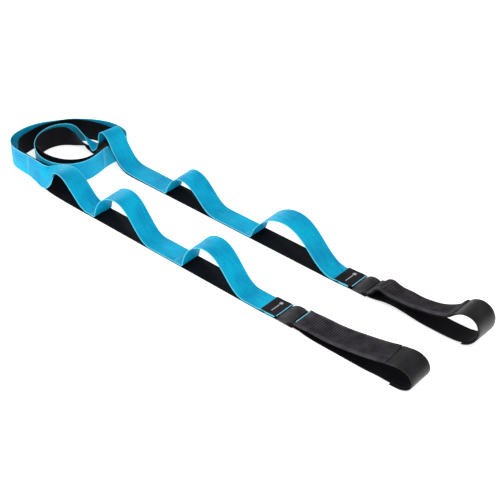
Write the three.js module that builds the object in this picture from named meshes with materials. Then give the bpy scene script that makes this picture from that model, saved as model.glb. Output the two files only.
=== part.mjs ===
// A stretching strap for physiotherapy, lying on the floor part-coiled.
// A black base webbing runs from handle to handle. A blue loop webbing is sewn
// to its upper side at even seams, and its slack between the seams stands up as
// loops for a foot or a hand. Each end carries a label, a keeper and a padded
// handle. The middle of the strap stands on edge and is wound one and a half turns.
//
// Millimetres, +Z up. The two straight runs lie along X, with the handles at +X.
// "Distance" is measured along the base webbing from the near label, towards the
// coil and then out to the far label. "Height" is measured off the base webbing,
// on the side that carries the loops.

import * as THREE from 'three';

// Webbing
const WIDTH = 38;
const BASE_THICK = 1.5;
const LOOP_THICK = 1.2;
const LAYER_GAP = 0.3;
const LOOP_REST = BASE_THICK / 2 + LAYER_GAP + LOOP_THICK / 2;

// Seams: ten loops, nine seams between them
const PITCH = 190;
const LABEL_TO_SEAM = 171;
const LOOP_COUNT = 10;
const BASE_END_GAP = 0.5;
const LOOP_END_GAP = 2.0;

// Plan of the two runs
const RUN_Y = 63;
const NEAR_LABEL_X = 0;
const FAR_LABEL_X = 34;
const RUN_STRAIGHT_X = -375;
const NEAR_TURN_X = -410;

// End assembly, measured outwards from the label's inner edge
const TAIL_RISE = [1, 27];
const TAIL_LIFT = 1.5;
const LABEL_SPAN = { near: [0.5, 30.3], far: [0.5, 33.8] };
const LABEL_THICK = 0.8;
const LABEL_WIDTH = 37.4;
const FOLD_OUT = 26;
const FOLD_BACK = 6;
const FOLD_RAMP = 8;
const FOLD_AFTER_LANDING = 1;
const FOLD_LIFT = LOOP_THICK + LAYER_GAP;
const KEEPER_START = { near: 31, far: 34.5 };
const KEEPER_END = 58;
const KEEPER_HEIGHT = 15;
const KEEPER_WALL = 1.2;
const KEEPER_SIDE = 1.6;
const KEEPER_CORNER = 3;
const CORNER_STEPS = 3;
const SEWN_WIDTH = 37;
const SEWN_SETBACK = 3;
const HANDLE_START = 61;

// Handle
const HANDLE_THICK = 2;
const GRIP_THICK = 3.5;
const GRIP_LENGTH = 160;
const GRIP_WIDTH = 40.6;
const WRAP_THICK = 1.5;
const WRAP_WIDTH = 41.6;
const WRAP_LENGTH = 92;
const WRAP_START_GAP = 0.5;

// Stitching
const STITCH_WIDTH = 34;
const STITCH_LENGTH = 1.4;
const STITCH_THICK = 0.6;
const SEAM_TO_STITCH = 5;
const LABEL_TO_BAR = { near: 28.3, far: 31.8 };
const GRIP_TO_BAR = 1;

// Smoothness
const STRAIGHT_STEPS = 1;
const COIL_STEPS = 30;
const ARCH_STEPS = 12;
const FOLD_STEPS = 4;
const HANDLE_STEPS = 110;
const HANDLE_ACROSS_STEPS = 2;
const PAD_STEPS = 52;
const TWIST_STEPS = 34;
const TWIST_ACROSS_STEPS = 6;
const LABEL_STEPS = 5;
const ROUTE_SAMPLES = 4000;
const TANGENT_REACH = 0.5;

const UP = new THREE.Vector3(0, 0, 1);

// The middle of the base webbing, as [x, y, lift, tilt in degrees]. Lift is the
// height of its lower edge over the floor. Tilt is 0 where the webbing lies flat
// and 90 where it stands on edge.
const BASE_ROUTE = [
  [NEAR_LABEL_X + KEEPER_END, -RUN_Y, TAIL_LIFT, 0],
  [NEAR_LABEL_X + TAIL_RISE[1], -RUN_Y, TAIL_LIFT, 0],
  [NEAR_LABEL_X + TAIL_RISE[0], -RUN_Y, 0.25, 0],
  [-60, -RUN_Y, 0, 0],
  [-200, -RUN_Y, 0, 0],
  [RUN_STRAIGHT_X, -RUN_Y, 0, 0],
  [NEAR_TURN_X, -RUN_Y, 0, 0],
  // twist up on to its edge
  [-440, -63, 0.2, 8],
  [-462, -64, 0.3, 26],
  [-482, -66, 0.3, 52],
  [-503, -67, 0.3, 72],
  [-527, -66, 0.1, 82],
  // outer turn
  [-555, -63, 0, 86],
  [-580, -54, 0, 88],
  [-597, -36, 0, 90],
  [-603, -12, 0, 90],
  [-604, 16, 0, 90],
  [-596, 43, 0, 90],
  [-581, 67, 0, 90],
  [-557, 82, 0, 90],
  [-528, 91, 0, 90],
  [-501, 94, 0, 90],
  [-481, 92, 0, 90],
  [-468, 81, 0, 90],
  [-466, 61, 0, 90],
  [-463, 40, 0, 90],
  [-460, 15, 0, 90],
  // inner turn
  [-463, -8, 0, 90],
  [-475, -25, 0, 90],
  [-493, -36, 0, 90],
  [-516, -41, 0, 90],
  [-540, -39, 0, 90],
  [-562, -30, 0, 90],
  [-577, -13, 0, 90],
  [-583, 8, 0, 90],
  [-579, 29, 0, 90],
  [-567, 42, 0, 86],
  [-551, 47, 0, 70],
  // twist down again inside the coil
  [-534, 51, 0, 46],
  [-518, 56, 0, 24],
  [-503, 61, 4, 8],
  // over the outer turn and down to the floor
  [-491, RUN_Y, 20, 0],
  [-482, RUN_Y, 35, 0],
  [-472, RUN_Y, 40.3, 0],
  [-458, RUN_Y, 39.2, 0],
  [-449, RUN_Y, 29, 0],
  [-442, RUN_Y, 18, 0],
  [-432, RUN_Y, 8, 0],
  [-418, RUN_Y, 1.5, 0],
  [-400, RUN_Y, 0, 0],
  [RUN_STRAIGHT_X, RUN_Y, 0, 0],
  [-200, RUN_Y, 0, 0],
  [-60, RUN_Y, 0, 0],
  [FAR_LABEL_X + TAIL_RISE[0], RUN_Y, 0.25, 0],
  [FAR_LABEL_X + TAIL_RISE[1], RUN_Y, TAIL_LIFT, 0],
  [FAR_LABEL_X + KEEPER_END, RUN_Y, TAIL_LIFT, 0],
];

// Each raised loop, measured from its seam on the coil side: where it leaves the
// base, its crest, its height, where it lands, and how steeply it rises.
const ARCHES = {
  1: { lift: 12, crest: 61, height: 54.5, land: 138, steep: 0.58 },
  2: { lift: 4, crest: 57, height: 54.5, land: 131, steep: 0.58 },
  9: { lift: 5, crest: 43, height: 42.5, land: 116, steep: 0.4 },
  10: { lift: 4, crest: 71, height: 57, land: 168, steep: 0.46 },
};
const ARCH_RISE = 0.08;
const ARCH_LEFT = 0.49;
const ARCH_RIGHT = 0.45;
const ARCH_LANDING = 0.4;
// The loops slump towards the far run by this many degrees at the crest
const ARCH_LEAN = 5;

// The two loops next to the coil twist on their own, off the base. They are given
// in the same way as the base, from the near end to the far end.
const TWISTED_LOOPS = {
  3: [
    [-381, -RUN_Y, 3, 0],
    [-393, -RUN_Y, 9.5, 0],
    [-403, -RUN_Y, 19, 0],
    [-414, -RUN_Y, 30, 0],
    [-425, -RUN_Y, 40.5, -4],
    [-438, -RUN_Y, 47, -6],
    [-450, -63, 46.5, -5],
    [-461, -64, 39, 2],
    [-469, -67, 26, 18],
    [-477, -70, 13, 38],
    [-485, -71.5, 4, 56],
    [-495, -71.5, 0.6, 68],
    [-510, -70, 0.4, 77],
  ],
  8: [
    [-484, RUN_Y, 45, 0],
    [-482, RUN_Y, 52, 0],
    [-476, RUN_Y, 56.2, 5],
    [-468, RUN_Y, 54.8, 5],
    [-459, RUN_Y, 47.5, 3],
    [-453, RUN_Y, 38.5, 0],
    [-448, RUN_Y, 30, 0],
    [-441, RUN_Y, 21, 0],
    [-433, RUN_Y, 12, 0],
    [-421, RUN_Y, 5, 0],
    [-405, RUN_Y, 2.5, 0],
  ],
};

// The slack of a coiled loop stands off the base by this much at mid-length
const COIL_BULGE = { 4: 15, 5: 12, 6: 14, 7: 11 };

// Handle webbing round its loop, as [distance out from the label, height, roll].
// Roll, in degrees, lifts the edge that faces -Y.
const HANDLE_LOOP = {
  near: [
    [HANDLE_START, 9, 0], [72, 9, 0], [88, 10.4, 0], [122, 11.8, -2], [160, 17.8, -4],
    [198, 26, -5], [226, 34, -5], [243, 36.2, -5], [255, 31.5, -4], [260, 22, -2],
    [257, 11.8, 0], [247, 5.1, 0], [232, 3.1, 0], [206, 2.9, 0], [186, 1.3, 0],
    [150, 1.1, 0], [100, 1.1, 0], [84, 2, 0], [72, 4, 0], [HANDLE_START, 4.6, 0],
  ],
  far: [
    [HANDLE_START, 7.4, 0], [68, 11.5, 5], [74, 18.5, 9], [80, 21.5, 11], [87, 20, 12],
    [98, 17.6, 12], [115, 18, 12], [132, 17.8, 14], [150, 20.5, 15], [166, 24, 14],
    [183, 30.3, 10], [196, 37.5, 5], [205, 47, 1], [215, 54.5, -1], [227, 57, -2],
    [238, 53, -1], [244, 44, 0], [244.5, 33, 2], [240, 21, 4], [230, 11, 5],
    [216, 6, 5], [198, 4.6, 4], [172, 4.4, 4], [152, 4.6, 5], [128, 6.5, 8],
    [108, 7.5, 10], [90, 7, 8], [75, 5, 4], [HANDLE_START, 4.2, 0],
  ],
};

const COLOURS = {
  black: { color: 0x17171a, roughness: 0.72, metalness: 0 },
  grip: { color: 0x232327, roughness: 0.85, metalness: 0 },
  satin: { color: 0x0f0f12, roughness: 0.5, metalness: 0 },
  blue: { color: 0x14a9d0, roughness: 0.6, metalness: 0 },
  thread: { color: 0x7fdcea, roughness: 0.55, metalness: 0 },
};

// --- The base webbing's route ------------------------------------------------

const radians = THREE.MathUtils.degToRad;

function midPoint([x, y, lift, tilt]) {
  const halfWidth = (WIDTH / 2) * Math.sin(radians(tilt));
  const halfThick = (BASE_THICK / 2) * Math.cos(radians(tilt));
  return new THREE.Vector3(x, y, lift + halfWidth + halfThick);
}

function smoothCurve(points) {
  const curve = new THREE.CatmullRomCurve3(points, false, 'centripetal');
  curve.arcLengthDivisions = ROUTE_SAMPLES;
  return curve;
}

function makeRoute(points) {
  const middle = smoothCurve(points.map(midPoint));
  const tilts = smoothCurve(points.map(([, , , tilt]) => new THREE.Vector3(tilt, 0, 0)));
  return { middle, tilts, length: middle.getLength() };
}

// The strap's own directions at a distance along a route: its centre, along,
// across (towards the upper edge where it stands on edge) and off its upper side
function frameOn(route, distance) {
  const pointAt = (length) => {
    const inside = THREE.MathUtils.clamp(length, 0, route.length);
    return route.middle.getPoint(route.middle.getUtoTmapping(0, inside));
  };
  const along = pointAt(distance + TANGENT_REACH).sub(pointAt(distance - TANGENT_REACH)).normalize();
  const side = new THREE.Vector3().crossVectors(along, UP).normalize();
  const rise = new THREE.Vector3().crossVectors(side, along);
  const inside = THREE.MathUtils.clamp(distance, 0, route.length);
  const tilt = radians(route.tilts.getPoint(route.middle.getUtoTmapping(0, inside)).x);
  const across = side.multiplyScalar(Math.cos(tilt)).addScaledVector(rise, Math.sin(tilt));
  const off = new THREE.Vector3().crossVectors(across, along);
  return { centre: pointAt(distance), along, across, off };
}

const baseRoute = makeRoute(BASE_ROUTE);

// The route starts at the outer end of the near keeper, beyond the label
const NEAR_LABEL_AT = KEEPER_END;
const FAR_LABEL_AT = baseRoute.length - KEEPER_END;
const NEAR_RUN_SEAMS = [1, 2].map((number) => NEAR_LABEL_AT + LABEL_TO_SEAM + (number - 1) * PITCH);
const FAR_RUN_SEAMS = [2, 1].map((number) => FAR_LABEL_AT - LABEL_TO_SEAM - (number - 1) * PITCH);
const COIL_LOOPS = LOOP_COUNT - NEAR_RUN_SEAMS.length - FAR_RUN_SEAMS.length;
const COIL_PITCH = (FAR_RUN_SEAMS[0] - NEAR_RUN_SEAMS[1]) / COIL_LOOPS;

// Where each seam lies along the base webbing. The seams of the two straight runs
// are evenly spaced from the labels, and those between them share out the rest.
function seamAt(number) {
  if (number <= NEAR_RUN_SEAMS.length) return NEAR_RUN_SEAMS[number - 1];
  if (number >= LOOP_COUNT - 1) return FAR_RUN_SEAMS[1];
  return NEAR_RUN_SEAMS[1] + (number - NEAR_RUN_SEAMS.length) * COIL_PITCH;
}

// --- Webbing solids ----------------------------------------------------------

// A flat strip bent so that its middle follows the given centres and its width
// follows the given directions. A strip that twists needs facets across it too, or
// its two faces would cross where they are split along different diagonals.
function strip(centres, acrosses, width, thick, acrossSteps = 1) {
  const last = centres.length - 1;
  const geometry = new THREE.BoxGeometry(1, 1, 1, last, acrossSteps, 1);
  const place = geometry.attributes.position;
  for (let i = 0; i < place.count; i += 1) {
    const station = Math.round((place.getX(i) + 0.5) * last);
    const before = centres[Math.max(station - 1, 0)];
    const after = centres[Math.min(station + 1, last)];
    const along = new THREE.Vector3().subVectors(after, before).normalize();
    const across = acrosses[station].clone().addScaledVector(along, -acrosses[station].dot(along));
    across.normalize();
    const off = new THREE.Vector3().crossVectors(across, along);
    const point = centres[station].clone()
      .addScaledVector(across, -place.getY(i) * width)
      .addScaledVector(off, place.getZ(i) * thick);
    place.setXYZ(i, point.x, point.y, point.z);
  }
  geometry.deleteAttribute('normal');
  geometry.deleteAttribute('uv');
  geometry.computeVertexNormals();
  return geometry;
}

// A strip that follows [distance, height, lean] stations along the base webbing.
// Lean, in degrees, lowers the edge next to the other run.
function stripOnBase(stations, width, thick, acrossSteps = 1) {
  const centres = [];
  const acrosses = [];
  for (const [distance, height, lean = 0] of stations) {
    const frame = frameOn(baseRoute, distance);
    centres.push(frame.centre.addScaledVector(frame.off, height));
    acrosses.push(frame.across.addScaledVector(frame.off, -Math.tan(radians(lean))).normalize());
  }
  return strip(centres, acrosses, width, thick, acrossSteps);
}

// Evenly spaced stations, with the first and last drawn in by an inset. Webbings
// laid one on the other share their stations, so that their facets lie parallel.
function evenStations(from, to, steps, heightAt, inset = 0) {
  const stations = [];
  for (let i = 0; i <= steps; i += 1) {
    const even = from + ((to - from) * i) / steps;
    const distance = THREE.MathUtils.clamp(even, from + inset, to - inset);
    stations.push([distance, heightAt(distance)]);
  }
  return stations;
}

function bezierStations(points, steps) {
  const curve = new THREE.CubicBezierCurve(...points.map(([x, y]) => new THREE.Vector2(x, y)));
  return curve.getPoints(steps).map((point) => [point.x, point.y]);
}

// --- Base and loop webbing, one piece for each loop ----------------------------

function loopSpan(number) {
  const from = number === 1 ? 0 : seamAt(number - 1);
  const to = number === LOOP_COUNT ? baseRoute.length : seamAt(number);
  return { from, to };
}

function isStraight(number) {
  return number === 2 || number === LOOP_COUNT - 1;
}

function isCoiled(number) {
  return number > NEAR_RUN_SEAMS.length && number <= LOOP_COUNT - FAR_RUN_SEAMS.length;
}

function baseWebbing(number) {
  const { from, to } = loopSpan(number);
  const steps = isStraight(number) ? STRAIGHT_STEPS : COIL_STEPS;
  const acrossSteps = isCoiled(number) ? TWIST_ACROSS_STEPS : 1;
  return stripOnBase(evenStations(from, to, steps, () => 0, BASE_END_GAP), WIDTH, BASE_THICK, acrossSteps);
}

// A raised loop in its own measure: distance from the seam on the coil side
function archStations({ lift, crest, height, land, steep }) {
  const left = crest - lift;
  const right = land - crest;
  const rising = bezierStations([
    [lift, 0],
    [lift + ARCH_RISE * left, steep * height],
    [crest - ARCH_LEFT * left, height],
    [crest, height],
  ], ARCH_STEPS);
  const falling = bezierStations([
    [crest, height],
    [crest + ARCH_RIGHT * right, height],
    [land - ARCH_LANDING * right, 0],
    [land, 0],
  ], ARCH_STEPS);
  return [...rising, ...falling.slice(1)];
}

// The webbing's end under the label is doubled back beneath itself. Its rise on to
// the fold starts after the loop has landed.
function foldStations(out, landed) {
  const stations = [
    [Math.max(out + TAIL_RISE[0] - FOLD_RAMP, landed + FOLD_AFTER_LANDING), 0],
    [out + TAIL_RISE[0], FOLD_LIFT],
    [out + FOLD_OUT, FOLD_LIFT],
  ];
  for (let i = 1; i < FOLD_STEPS; i += 1) {
    const turn = (Math.PI * i) / FOLD_STEPS;
    const radius = FOLD_LIFT / 2;
    stations.push([out + FOLD_OUT + radius * Math.sin(turn), radius * (1 + Math.cos(turn))]);
  }
  stations.push([out + FOLD_OUT, 0], [out + TAIL_RISE[0] + FOLD_BACK, 0]);
  return stations;
}

function raisedLoop(number) {
  const onNearSide = number <= LOOP_COUNT / 2;
  const coilSeam = seamAt(onNearSide ? number : number - 1);
  const isEnd = number === 1 || number === LOOP_COUNT;
  const stations = [[LOOP_END_GAP, 0], ...archStations(ARCHES[number]).slice(1)];
  if (isEnd) {
    stations.push(...foldStations(LABEL_TO_SEAM, ARCHES[number].land));
  } else {
    stations.push([PITCH - LOOP_END_GAP, 0]);
  }
  const direction = onNearSide ? -1 : 1;
  const fullLean = direction * ARCH_LEAN;
  const placed = stations.map(([out, height]) => [
    coilSeam + direction * out,
    height + LOOP_REST,
    fullLean * Math.min(height / ARCHES[number].height, 1),
  ]);
  if (onNearSide) placed.reverse();
  return stripOnBase(placed, WIDTH, LOOP_THICK);
}

// A loop that leaves one seam, follows its own route and lands at the next
function twistedLoop(number) {
  const { from, to } = loopSpan(number);
  const ends = [from + LOOP_END_GAP, to - LOOP_END_GAP].map((distance) => {
    const frame = frameOn(baseRoute, distance);
    return { centre: frame.centre.addScaledVector(frame.off, LOOP_REST), across: frame.across };
  });
  const own = makeRoute(TWISTED_LOOPS[number]);
  const frames = evenStations(0, own.length, TWIST_STEPS, () => 0).map(([at]) => frameOn(own, at));
  const all = [ends[0], ...frames, ends[1]];
  return strip(all.map((frame) => frame.centre), all.map((frame) => frame.across), WIDTH, LOOP_THICK,
    TWIST_ACROSS_STEPS);
}

function coiledLoop(number) {
  const { from, to } = loopSpan(number);
  const bulge = (distance) => {
    const phase = (Math.PI * (distance - from)) / (to - from);
    return LOOP_REST + COIL_BULGE[number] * Math.sin(phase) ** 2;
  };
  return stripOnBase(evenStations(from, to, COIL_STEPS, bulge, LOOP_END_GAP), WIDTH, LOOP_THICK,
    TWIST_ACROSS_STEPS);
}

function loopWebbing(number) {
  if (number in ARCHES) return raisedLoop(number);
  if (number in TWISTED_LOOPS) return twistedLoop(number);
  return coiledLoop(number);
}

// A row of stitching across the loop webbing, on the coil side of its seam
function seamStitch(number) {
  const towardsCoil = number <= LOOP_COUNT / 2 ? 1 : -1;
  const middle = seamAt(number) + towardsCoil * SEAM_TO_STITCH;
  const height = LOOP_REST + (LOOP_THICK + STITCH_THICK) / 2 + LAYER_GAP;
  const stations = [[middle - STITCH_LENGTH / 2, height], [middle + STITCH_LENGTH / 2, height]];
  return stripOnBase(stations, STITCH_WIDTH, STITCH_THICK);
}

// --- Ends ---------------------------------------------------------------------

// The two ends are alike: "out" runs from the label's inner edge to the handle
function onRoute(end, out) {
  return end === 'near' ? NEAR_LABEL_AT - out : FAR_LABEL_AT + out;
}

function stripOnEnd(end, stations, width, thick) {
  const placed = stations.map(([out, height]) => [onRoute(end, out), height]);
  if (end === 'near') placed.reverse();
  return stripOnBase(placed, width, thick);
}

const LABEL_REST = LOOP_REST + FOLD_LIFT + (LOOP_THICK + LABEL_THICK) / 2 + LAYER_GAP;

function label(end) {
  return stripOnEnd(end, evenStations(...LABEL_SPAN[end], LABEL_STEPS, () => LABEL_REST),
    LABEL_WIDTH, LABEL_THICK);
}

function labelBar(end) {
  const height = LABEL_REST + (LABEL_THICK + STITCH_THICK) / 2 + LAYER_GAP;
  const from = LABEL_TO_BAR[end];
  return stripOnEnd(end, evenStations(from, from + STITCH_LENGTH, STRAIGHT_STEPS, () => height),
    STITCH_WIDTH, STITCH_THICK);
}

function labelX(end) {
  return end === 'near' ? NEAR_LABEL_X : FAR_LABEL_X;
}

function runY(end) {
  return end === 'near' ? -RUN_Y : RUN_Y;
}

function roundedOutline(path, halfWidth, low, high, corner) {
  path.moveTo(-halfWidth + corner, low);
  path.lineTo(halfWidth - corner, low);
  path.absarc(halfWidth - corner, low + corner, corner, -Math.PI / 2, 0, false);
  path.lineTo(halfWidth, high - corner);
  path.absarc(halfWidth - corner, high - corner, corner, 0, Math.PI / 2, false);
  path.lineTo(-halfWidth + corner, high);
  path.absarc(-halfWidth + corner, high - corner, corner, Math.PI / 2, Math.PI, false);
  path.lineTo(-halfWidth, low + corner);
  path.absarc(-halfWidth + corner, low + corner, corner, Math.PI, 1.5 * Math.PI, false);
  return path;
}

// Turns a shape drawn across the strap (width, height) and extruded into a solid
// that runs along +X from the given distance out
function alongRun(geometry, end, out) {
  geometry.rotateX(Math.PI / 2);
  geometry.rotateZ(Math.PI / 2);
  geometry.translate(labelX(end) + out, runY(end), 0);
  return geometry;
}

// A sleeve round the base webbing and the sewn ends of the handle webbing
function keeper(end) {
  const halfInside = WIDTH / 2 + LAYER_GAP;
  const outside = roundedOutline(new THREE.Shape(), halfInside + KEEPER_SIDE, 0, KEEPER_HEIGHT, KEEPER_CORNER);
  const inside = roundedOutline(new THREE.Path(), halfInside, KEEPER_WALL, KEEPER_HEIGHT - KEEPER_WALL,
    LAYER_GAP);
  outside.holes.push(inside);
  const geometry = new THREE.ExtrudeGeometry(outside, {
    depth: KEEPER_END - KEEPER_START[end], bevelEnabled: false, curveSegments: CORNER_STEPS,
  });
  return alongRun(geometry, end, KEEPER_START[end]);
}

// The handle webbing's two ends, sewn in a stack on the base inside the keeper
function sewnEnds(end) {
  const low = TAIL_LIFT + BASE_THICK + LAYER_GAP;
  const high = KEEPER_HEIGHT - KEEPER_WALL - LAYER_GAP;
  const length = KEEPER_END - SEWN_SETBACK - KEEPER_START[end];
  const geometry = new THREE.BoxGeometry(length, SEWN_WIDTH, high - low);
  geometry.translate(labelX(end) + KEEPER_START[end] + length / 2, runY(end), (low + high) / 2);
  return geometry;
}

// A strip that follows the handle loop between two lengths along it, moved
// outwards by a given amount
function stripOnHandle(end, from, to, steps, outwards, width, thick) {
  const places = HANDLE_LOOP[end].map(([x, z]) => new THREE.Vector3(labelX(end) + x, runY(end), z));
  const middle = smoothCurve(places);
  const rolls = smoothCurve(HANDLE_LOOP[end].map(([, , roll]) => new THREE.Vector3(roll, 0, 0)));
  const total = middle.getLength();
  const centres = [];
  const acrosses = [];
  for (let i = 0; i <= steps; i += 1) {
    const length = from + ((Math.min(to, total) - from) * i) / steps;
    const share = Math.min(length / total, 1);
    const roll = radians(rolls.getPoint(middle.getUtoTmapping(share)).x);
    const across = new THREE.Vector3(0, -Math.cos(roll), Math.sin(roll));
    const outward = new THREE.Vector3().crossVectors(across, middle.getTangentAt(share));
    centres.push(middle.getPointAt(share).addScaledVector(outward, outwards));
    acrosses.push(across);
  }
  return strip(centres, acrosses, width, thick, HANDLE_ACROSS_STEPS);
}

function handleWebbing(end) {
  return stripOnHandle(end, 0, Infinity, HANDLE_STEPS, 0, WIDTH, HANDLE_THICK);
}

function gripPad(end) {
  const outwards = (HANDLE_THICK + GRIP_THICK) / 2 + LAYER_GAP;
  return stripOnHandle(end, 0, GRIP_LENGTH, PAD_STEPS, outwards, GRIP_WIDTH, GRIP_THICK);
}

// Only the near grip starts with a bar of thread
function gripBar() {
  const outwards = HANDLE_THICK / 2 + GRIP_THICK + STITCH_THICK / 2 + 2 * LAYER_GAP;
  return stripOnHandle('near', GRIP_TO_BAR, GRIP_TO_BAR + STITCH_LENGTH, STRAIGHT_STEPS, outwards,
    STITCH_WIDTH, STITCH_THICK);
}

function tipWrap(end) {
  const outwards = (HANDLE_THICK + WRAP_THICK) / 2 + LAYER_GAP;
  const from = GRIP_LENGTH + WRAP_START_GAP;
  return stripOnHandle(end, from, from + WRAP_LENGTH, PAD_STEPS, outwards, WRAP_WIDTH, WRAP_THICK);
}

// --- Assembly -------------------------------------------------------------------

const strap = new THREE.Group();

function add(name, geometry, colour) {
  const mesh = new THREE.Mesh(geometry, new THREE.MeshStandardMaterial(COLOURS[colour]));
  mesh.name = name;
  strap.add(mesh);
}

function numbered(name, number) {
  return `${name}_${String(number).padStart(2, '0')}`;
}

for (let number = 1; number <= LOOP_COUNT; number += 1) {
  add(numbered('base_webbing', number), baseWebbing(number), 'black');
  add(numbered('loop_webbing', number), loopWebbing(number), 'blue');
}
for (let number = 1; number < LOOP_COUNT; number += 1) {
  add(numbered('seam_stitch', number), seamStitch(number), 'thread');
}
for (const end of ['near', 'far']) {
  add(`label_${end}`, label(end), 'satin');
  add(`label_bar_${end}`, labelBar(end), 'thread');
  add(`keeper_${end}`, keeper(end), 'black');
  add(`sewn_ends_${end}`, sewnEnds(end), 'black');
  add(`handle_webbing_${end}`, handleWebbing(end), 'black');
  add(`grip_pad_${end}`, gripPad(end), 'grip');
  add(`tip_wrap_${end}`, tipWrap(end), 'satin');
}
add('grip_bar_near', gripBar(), 'thread');

// The origin is the middle of the strap's footprint, on the floor
const extent = new THREE.Box3().setFromObject(strap);
const middle = extent.getCenter(new THREE.Vector3());
strap.position.set(-middle.x, -middle.y, -extent.min.z);

export default strap;
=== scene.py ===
"""Looks of a multi-loop stretching strap: ribbons of woven webbing laid along the strap's
own route, with stitched seams, woven labels, elastic keepers and padded handles.

Lengths in this script are millimetres until to_frame() turns them into the row frame's
metres. "Distance" runs along the base webbing from the near keeper, round the coil, to the
far keeper. "Height" is measured off the base webbing, on the side of the loops.
"""

import math

import bmesh
import bpy
import numpy as np
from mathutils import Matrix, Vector


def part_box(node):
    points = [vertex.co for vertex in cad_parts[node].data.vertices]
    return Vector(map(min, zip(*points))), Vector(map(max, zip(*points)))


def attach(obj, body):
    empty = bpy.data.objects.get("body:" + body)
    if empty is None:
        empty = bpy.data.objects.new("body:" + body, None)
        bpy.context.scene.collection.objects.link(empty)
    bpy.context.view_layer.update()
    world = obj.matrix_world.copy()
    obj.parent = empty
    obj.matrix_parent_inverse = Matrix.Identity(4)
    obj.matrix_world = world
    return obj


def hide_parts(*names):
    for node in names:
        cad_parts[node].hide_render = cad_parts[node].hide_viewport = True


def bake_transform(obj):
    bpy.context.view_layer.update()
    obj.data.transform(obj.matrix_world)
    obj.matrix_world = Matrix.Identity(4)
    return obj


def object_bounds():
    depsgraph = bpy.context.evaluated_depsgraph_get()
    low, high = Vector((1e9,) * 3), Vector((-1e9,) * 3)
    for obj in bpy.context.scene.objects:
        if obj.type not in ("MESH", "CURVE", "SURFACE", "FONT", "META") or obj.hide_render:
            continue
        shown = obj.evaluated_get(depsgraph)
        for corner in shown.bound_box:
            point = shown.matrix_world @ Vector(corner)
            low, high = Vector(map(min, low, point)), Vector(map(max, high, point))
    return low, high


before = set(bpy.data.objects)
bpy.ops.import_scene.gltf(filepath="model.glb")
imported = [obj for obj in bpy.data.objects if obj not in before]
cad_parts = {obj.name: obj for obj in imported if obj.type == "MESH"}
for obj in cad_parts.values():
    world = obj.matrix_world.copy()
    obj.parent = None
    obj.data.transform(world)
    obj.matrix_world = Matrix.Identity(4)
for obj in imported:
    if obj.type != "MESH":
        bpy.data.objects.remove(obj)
CAD_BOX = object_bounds()

MM = 0.001
UP = np.array([0.0, 0.0, 1.0])

# ---------------------------------------------------------------- sizes of the strap

WIDTH = 38
BASE_THICK = 1.5
LOOP_THICK = 1.2
LAYER_GAP = 0.3
LOOP_REST = BASE_THICK / 2 + LAYER_GAP + LOOP_THICK / 2

PITCH = 190
LABEL_TO_SEAM = 171
LOOP_COUNT = 10

# Distances out from the label's inner edge. The base rises over TAIL_RISE.
KEEPER_START = {"near": 31, "far": 34.5}
KEEPER_END = 58
TAIL_RISE = (1, 27)

# The loop webbing's end doubles back under the label, between FOLD_BACK and FOLD_OUT
FOLD_OUT = 26
FOLD_BACK = 6
FOLD_RAMP = 8
FOLD_AFTER_LANDING = 1
FOLD_LIFT = LOOP_THICK + LAYER_GAP

RUN_Y = {"near": -63, "far": 63}
LABEL_X = {"near": 0, "far": 34}

# The middle of the base webbing: x, y, lift of its lower edge, tilt in degrees
BASE_ROUTE = [
    (58, -63, 1.5, 0), (27, -63, 1.5, 0), (1, -63, 0.25, 0), (-60, -63, 0, 0),
    (-200, -63, 0, 0), (-375, -63, 0, 0), (-410, -63, 0, 0),
    (-440, -63, 0.2, 8), (-462, -64, 0.3, 26), (-482, -66, 0.3, 52),
    (-503, -67, 0.3, 72), (-527, -66, 0.1, 82),
    (-555, -63, 0, 86), (-580, -54, 0, 88), (-597, -36, 0, 90), (-603, -12, 0, 90),
    (-604, 16, 0, 90), (-596, 43, 0, 90), (-581, 67, 0, 90), (-557, 82, 0, 90),
    (-528, 91, 0, 90), (-501, 94, 0, 90), (-481, 92, 0, 90), (-468, 81, 0, 90),
    (-466, 61, 0, 90), (-463, 40, 0, 90), (-460, 15, 0, 90),
    (-463, -8, 0, 90), (-475, -25, 0, 90), (-493, -36, 0, 90), (-516, -41, 0, 90),
    (-540, -39, 0, 90), (-562, -30, 0, 90), (-577, -13, 0, 90), (-583, 8, 0, 90),
    (-579, 29, 0, 90), (-567, 42, 0, 86), (-551, 47, 0, 70),
    (-534, 51, 0, 46), (-518, 56, 0, 24), (-503, 61, 4, 8),
    (-491, 63, 20, 0), (-482, 63, 35, 0), (-472, 63, 40.3, 0), (-458, 63, 39.2, 0),
    (-449, 63, 29, 0), (-442, 63, 18, 0), (-432, 63, 8, 0), (-418, 63, 1.5, 0),
    (-400, 63, 0, 0), (-375, 63, 0, 0), (-200, 63, 0, 0), (-60, 63, 0, 0),
    (35, 63, 0.25, 0), (61, 63, 1.5, 0), (92, 63, 1.5, 0),
]

# Raised loops, from the seam on the coil side: lift, crest, height, land, steepness
ARCHES = {
    1: (12, 61, 54.5, 138, 0.58),
    2: (4, 57, 54.5, 131, 0.58),
    9: (5, 43, 42.5, 116, 0.4),
    10: (4, 71, 57, 168, 0.46),
}
# Handles of an arch's curves, as shares of its width left and right of the crest
ARCH_RISE, ARCH_LEFT, ARCH_RIGHT, ARCH_LANDING = 0.08, 0.49, 0.45, 0.4
# Sideways lean at the crest, in degrees
ARCH_LEAN = 5

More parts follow.
